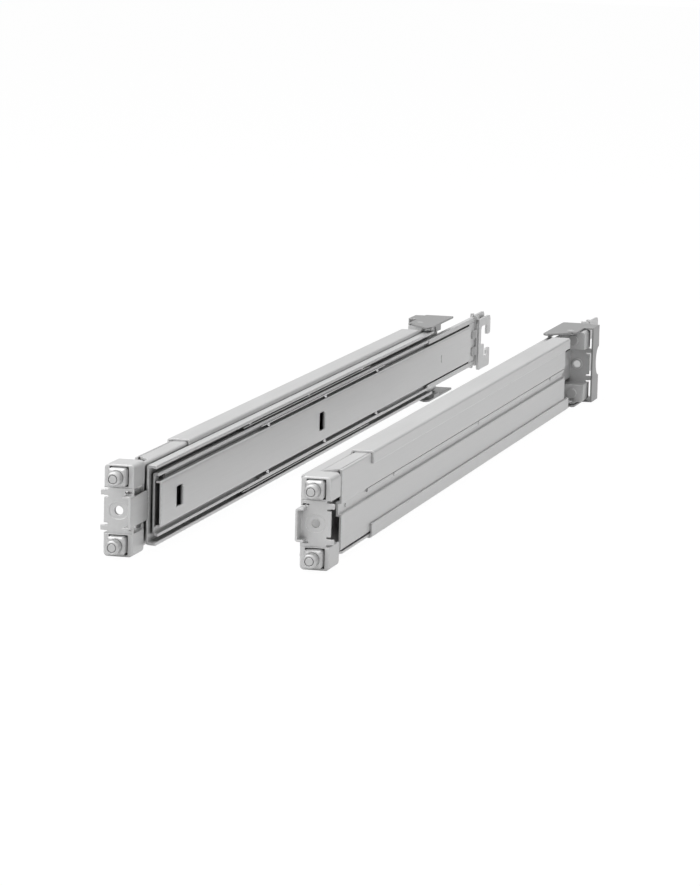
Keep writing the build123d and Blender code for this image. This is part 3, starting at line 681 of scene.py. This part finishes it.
def spring_material():
    return bpy.data.materials.get("spring_steel") or plated_material(
        "spring_steel", color=(0.50, 0.50, 0.51), roughness=0.30, metallic=0.8, relief=0.05)


def add_collar_spring(side, end, height, body):
    """The coil that pushes one square collar out."""
    springs = bpy.context.scene.rail_springs
    collar = "_".join((side, end, height, "collar"))
    low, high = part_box(collar)
    pin_low, pin_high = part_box("_".join((side, end, "pins")))
    centre = (low + high) / 2
    front = end == "front"
    start = high.y if front else low.y
    wall = pin_high.y - springs.wall_gauge if front else pin_low.y + springs.wall_gauge
    mesh = tube_mesh(collar + "_spring", coil_points(centre, wall, start, springs),
                     springs.wire_radius)
    mesh.materials.append(spring_material())
    spring = add_object(mesh)
    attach(spring, body)
    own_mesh(spring)


class AddSprings(bpy.types.Operator):
    """Add the coil springs behind the eight square collars"""
    bl_idname = "rails.add_springs"
    bl_label = "Add Springs"

    def execute(self, context):
        for side in SIDES:
            for height in ("upper", "lower"):
                add_collar_spring(side, "front", height, "rails")
                add_collar_spring(side, "rear", height, side + "_carriage")
        return {"FINISHED"}


def rounded_outline(corners, steps=6):
    """The points of a closed outline whose corners (along, up, radius) are rounded."""
    points = []
    for index, (along, up, radius) in enumerate(corners):
        corner = Vector((along, up))
        before = Vector(corners[index - 1][:2]) - corner
        after = Vector(corners[(index + 1) % len(corners)][:2]) - corner
        if radius == 0:
            points.append(corner)
            continue
        half = before.angle(after) / 2
        reach = radius / math.tan(half)
        middle = corner + (before.normalized() + after.normalized()).normalized() * (
            radius / math.sin(half))
        first = corner + before.normalized() * reach - middle
        last = corner + after.normalized() * reach - middle
        for step in range(steps + 1):
            points.append(middle + first.slerp(last, step / steps).normalized() * radius)
    return points


def rail_point(side, across, along, up):
    """A point of one rail, given from its pin axis, its front face and its middle height."""
    inward = 1 if side == "left" else -1
    return Vector((inward * (across - RAIL_AXIS), RAIL_FRONT + along, RAIL_MIDDLE + up))


def add_plate(build, side, outline, inner, outer):
    """A flat plate with this outline between two faces across the rail."""
    faces = []
    for across in (inner, outer):
        corners = [build.verts.new(rail_point(side, across, point.x, point.y))
                   for point in outline]
        faces.append(corners)
        build.faces.new(corners)
    for index in range(len(outline)):
        after = (index + 1) % len(outline)
        build.faces.new((faces[0][index], faces[0][after], faces[1][after], faces[1][index]))


def hook_outline(hooks):
    """The two cable-arm hooks, tips towards each other, from the plate's front to its rear."""
    front, rear = hooks.front, hooks.rear
    spine = front + HOOK_SPINE
    lower_spine = front + HOOK_LOWER_SPINE
    lower_rear = rear - HOOK_LOWER_INSET
    lower_front = rear - HOOK_LOWER_WIDTH
    return rounded_outline((
        (front, HOOK_TOP, 0), (rear, HOOK_TOP, HOOK_BEND), (rear, HOOK_TIP, HOOK_TIP_ROUND),
        (rear - HOOK_WIDTH, HOOK_TIP, HOOK_THROAT_ROUND),
        (rear - HOOK_WIDTH, HOOK_THROAT_TOP, HOOK_SMALL_BEND),
        (spine, HOOK_THROAT_TOP, HOOK_BEND), (spine, HOOK_STEP, 0),
        (lower_spine, HOOK_STEP, HOOK_SMALL_BEND),
        (lower_spine, HOOK_THROAT_LOW, HOOK_THROAT_ROUND),
        (lower_front, HOOK_THROAT_LOW, HOOK_THROAT_ROUND),
        (lower_front, HOOK_LOWER_TIP, HOOK_SMALL_BEND),
        (lower_rear, HOOK_LOWER_TIP, HOOK_SMALL_BEND),
        (lower_rear, HOOK_LOW, HOOK_FOOT_REAR), (front, HOOK_LOW, HOOK_FOOT_FRONT)))


def build_mesh(name, build, material):
    """The mesh of these faces, all turned outward, in one material."""
    bmesh.ops.recalc_face_normals(build, faces=build.faces)
    mesh = bpy.data.meshes.new(name)
    build.to_mesh(mesh)
    build.free()
    mesh.materials.clear()
    mesh.materials.append(material)
    return mesh


def hook_body(side):
    """The folded sheet of the bracket without its hook plate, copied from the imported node."""
    build = bmesh.new()
    build.from_mesh(frame["nodes"][side + "_cable_arm_bracket"].data)
    hooks = bpy.context.scene.rail_hooks
    plate = abs(rail_point(side, hooks.inner_face - FOLD_ACROSS, 0, 0).x)
    fold = RAIL_FRONT + hooks.front
    loose = []
    for face in build.faces:
        centre = face.calc_center_median()
        at_fold = fold - FOLD_BEFORE < centre.y < fold + FOLD_BEHIND
        if abs(centre.x) < plate and not at_fold:
            loose.append(face)
    bmesh.ops.delete(build, geom=loose, context="FACES")
    return build


def add_hook_bracket(side):
    """The cable-arm bracket with its hook plate, stepped root and upper guard plate."""
    hooks = bpy.context.scene.rail_hooks
    node = side + "_cable_arm_bracket"
    build = hook_body(side)
    add_plate(build, side, hook_outline(hooks), hooks.inner_face,
              hooks.inner_face + hooks.gauge)
    root = rounded_outline((
        (hooks.root_front, ROOT_HALF, ROOT_ROUND), (hooks.front, ROOT_HALF, 0),
        (hooks.front, -ROOT_HALF, 0), (hooks.root_front, -ROOT_HALF, ROOT_ROUND)))
    add_plate(build, side, root, hooks.root_face - hooks.gauge, hooks.root_face)
    guard_rear = hooks.rear - GUARD_INSET
    guard = rounded_outline((
        (hooks.front, GUARD_TOP, 0), (guard_rear, GUARD_TOP, GUARD_ROUND),
        (guard_rear, GUARD_LOW, 0), (hooks.front, GUARD_LOW, 0)))
    add_plate(build, side, guard, GUARD_OUTER_FACE, GUARD_INNER_FACE)
    sheet = add_object(build_mesh(node + "_sheet", build, bracket_material()))
    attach(sheet, frame["nodes"][node]["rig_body"])
    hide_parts(node)


def add_bumpers(side):
    """Two bumpers with a half-round nose on the stepped root of the hook plate."""
    hooks = bpy.context.scene.rail_hooks
    node = side + "_rear_bumpers"
    build = bmesh.new()
    front, rear = hooks.front - BUMPER_FRONT, hooks.front - BUMPER_REAR
    for middle in BUMPER_MIDDLES:
        top, low = middle + BUMPER_HALF, middle - BUMPER_HALF
        outline = rounded_outline((
            (front, top, BUMPER_NOSE_RADIUS), (rear, top, 0),
            (rear, low, 0), (front, low, BUMPER_NOSE_RADIUS)))
        add_plate(build, side, outline, hooks.root_face, hooks.root_face + hooks.bumper_proud)
    bumpers = add_object(build_mesh(node + "_moulding", build, bumper_material()))
    soften = bumpers.modifiers.new("soften", "BEVEL")
    soften.width = BUMPER_EDGE
    soften.segments = BUMPER_EDGE_STEPS
    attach(bumpers, frame["nodes"][node]["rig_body"])
    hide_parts(node)


class BuildHooks(bpy.types.Operator):
    """Build the cable-arm hook plates and their bumpers behind the slides"""
    bl_idname = "rails.build_hooks"
    bl_label = "Build Hooks"

    def execute(self, context):
        for side in SIDES:
            add_hook_bracket(side)
            add_bumpers(side)
        return {"FINISHED"}


class FinishBalls(bpy.types.Operator):
    """Finish the bearing balls"""
    bl_idname = "rails.finish_balls"
    bl_label = "Finish Balls"

    def execute(self, context):
        dress(("outer_balls", "inner_balls"), ball_material())
        return {"FINISHED"}


class FinishPlastic(bpy.types.Operator):
    """Finish the plastic stop blocks and bumpers"""
    bl_idname = "rails.finish_plastic"
    bl_label = "Finish Plastic"

    def execute(self, context):
        dress(("front_stop",), stop_material())
        dress(("rear_bumpers",), bumper_material())
        return {"FINISHED"}


def add_floor(stage):
    """A square floor under the rails."""
    mesh = bpy.data.meshes.new("floor")
    half = stage.floor_size / 2
    mesh.from_pydata([(-half, -half, 0), (half, -half, 0), (half, half, 0), (-half, half, 0)],
                     [], [(0, 1, 2, 3)])
    mesh.materials.append(floor_material(stage))
    floor = add_object(mesh)


def seen_rays(tree):
    """The light path, and a mask for rays from the camera, also by way of a mirror or glass."""
    path = tree.nodes.new("ShaderNodeLightPath")
    seen = math_node(tree, "ADD", path.outputs["Is Camera Ray"], path.outputs["Is Glossy Ray"])
    return path, math_node(tree, "ADD", seen, path.outputs["Is Transmission Ray"])


def floor_material(stage):
    """A pale floor that reads as the white background where nothing shades it."""
    material = bpy.data.materials.new("pale_floor")
    material.use_nodes = True
    tree = material.node_tree
    shader = tree.nodes["Principled BSDF"]
    shader.inputs["Base Color"].default_value = (*stage.floor_color, 1.0)
    shader.inputs["Roughness"].default_value = 0.9
    shader.inputs["Specular IOR Level"].default_value = 0.0
    glow = tree.nodes.new("ShaderNodeEmission")
    glow.inputs["Color"].default_value = (1, 1, 1, 1)
    glow.inputs["Strength"].default_value = FLOOR_GLOW
    seen = math_node(tree, "MINIMUM", seen_rays(tree)[1], 1.0)
    seen = math_node(tree, "MULTIPLY", seen, FLOOR_COVER)
    mix = tree.nodes.new("ShaderNodeMixShader")
    tree.links.new(seen, mix.inputs["Fac"])
    tree.links.new(shader.outputs["BSDF"], mix.inputs[1])
    tree.links.new(glow.outputs["Emission"], mix.inputs[2])
    tree.links.new(mix.outputs["Shader"], tree.nodes["Material Output"].inputs["Surface"])
    return material


def add_world(stage):
    """White behind the rails, with a greyer wall low down for the sheets to reflect."""
    world = bpy.data.worlds.new("studio")
    world.use_nodes = True
    tree = world.node_tree
    plain = tree.nodes["Background"]
    plain.inputs["Color"].default_value = (1, 1, 1, 1)
    plain.inputs["Strength"].default_value = stage.world_strength
    white = tree.nodes.new("ShaderNodeBackground")
    white.inputs["Color"].default_value = (1, 1, 1, 1)
    path, seen = seen_rays(tree)
    height = tree.nodes.new("ShaderNodeSeparateXYZ")
    tree.links.new(tree.nodes.new("ShaderNodeTexCoord").outputs["Generated"],
                   height.inputs["Vector"])
    wall = tree.nodes.new("ShaderNodeMapRange")
    wall.inputs["From Min"].default_value = WALL_LOW
    wall.inputs["From Max"].default_value = WALL_HIGH
    wall.inputs["To Min"].default_value = stage.wall_strength
    tree.links.new(height.outputs["Z"], wall.inputs["Value"])
    tree.links.new(math_node(tree, "MAXIMUM", path.outputs["Is Camera Ray"],
                             wall.outputs["Result"]), white.inputs["Strength"])
    mix = tree.nodes.new("ShaderNodeMixShader")
    tree.links.new(seen, mix.inputs["Fac"])
    tree.links.new(plain.outputs["Background"], mix.inputs[1])
    tree.links.new(white.outputs["Background"], mix.inputs[2])
    tree.links.new(mix.outputs["Shader"], tree.nodes["World Output"].inputs["Surface"])
    bpy.context.scene.world = world


def add_lamp(name, place, target, size, power):
    """A soft rectangular lamp that points at its target."""
    data = bpy.data.lights.new(name, "AREA")
    data.shape = "RECTANGLE"
    data.size, data.size_y = size
    data.energy = power
    lamp = bpy.data.objects.new(name, data)
    lamp.location = place
    lamp.rotation_euler = (Vector(target) - Vector(place)).to_track_quat("-Z", "Y").to_euler()
    bpy.context.scene.collection.objects.link(lamp)


def add_camera():
    """The camera that sees the rails as the picture does."""
    data = bpy.data.cameras.new("camera")
    data.sensor_width = SENSOR * 1000
    data.lens = FOCAL_PIXELS * data.sensor_width / max(IMAGE_WIDTH, IMAGE_HEIGHT)
    camera = bpy.data.objects.new("camera", data)
    right = CAMERA_RIGHT.normalized()
    down = (CAMERA_DOWN - right * CAMERA_DOWN.dot(right)).normalized()
    back = right.cross(-down)
    turn = Matrix((right, -down, back)).transposed().to_4x4()
    camera.matrix_world = Matrix.Translation(CAMERA_PLACE) @ turn
    bpy.context.scene.collection.objects.link(camera)
    bpy.context.scene.camera = camera


class BuildStage(bpy.types.Operator):
    """Add the pale floor, the soft lamps and the camera"""
    bl_idname = "rails.build_stage"
    bl_label = "Build Stage"

    def execute(self, context):
        stage = context.scene.rail_stage
        add_floor(stage)
        add_world(stage)
        for name, place, target, size, power in LAMPS:
            add_lamp(name, place, target, size, getattr(stage, power))
        add_camera()
        context.scene.view_settings.view_transform = "Standard"
        return {"FINISHED"}


class RailPanel(bpy.types.Panel):
    bl_idname = "VIEW3D_PT_server_rails"
    bl_label = "Server Rails"
    bl_space_type = "VIEW_3D"
    bl_region_type = "UI"
    bl_category = "Server Rails"

    def draw(self, context):
        scene = context.scene
        for group in (scene.rail_finish, scene.rail_hooks, scene.rail_springs,
                      scene.rail_stage):
            for name in group.__annotations__:
                self.layout.prop(group, name)
        for operator in OPERATORS:
            self.layout.operator(operator.bl_idname)


GROUPS = (RailFinish, RailHooks, RailSprings, RailStage)
OPERATORS = (FinishSlides, FinishSupports, FinishBrackets, FinishPins, AddSprings,
             BuildHooks, FinishBalls, FinishPlastic, BuildStage)


def register():
    for item in GROUPS + OPERATORS + (RailPanel,):
        bpy.utils.register_class(item)
    bpy.types.Scene.rail_finish = bpy.props.PointerProperty(type=RailFinish)
    bpy.types.Scene.rail_hooks = bpy.props.PointerProperty(type=RailHooks)
    bpy.types.Scene.rail_springs = bpy.props.PointerProperty(type=RailSprings)
    bpy.types.Scene.rail_stage = bpy.props.PointerProperty(type=RailStage)


def unregister():
    del bpy.types.Scene.rail_stage
    del bpy.types.Scene.rail_springs
    del bpy.types.Scene.rail_hooks
    del bpy.types.Scene.rail_finish
    for item in reversed(GROUPS + OPERATORS + (RailPanel,)):
        bpy.utils.unregister_class(item)


def main():
    register()
    bpy.ops.rails.finish_slides()
    bpy.ops.rails.finish_supports()
    bpy.ops.rails.finish_brackets()
    bpy.ops.rails.finish_pins()
    bpy.ops.rails.add_springs()
    bpy.ops.rails.build_hooks()
    bpy.ops.rails.finish_balls()
    bpy.ops.rails.finish_plastic()
    bpy.ops.rails.build_stage()


if __name__ == "__main__":
    main()
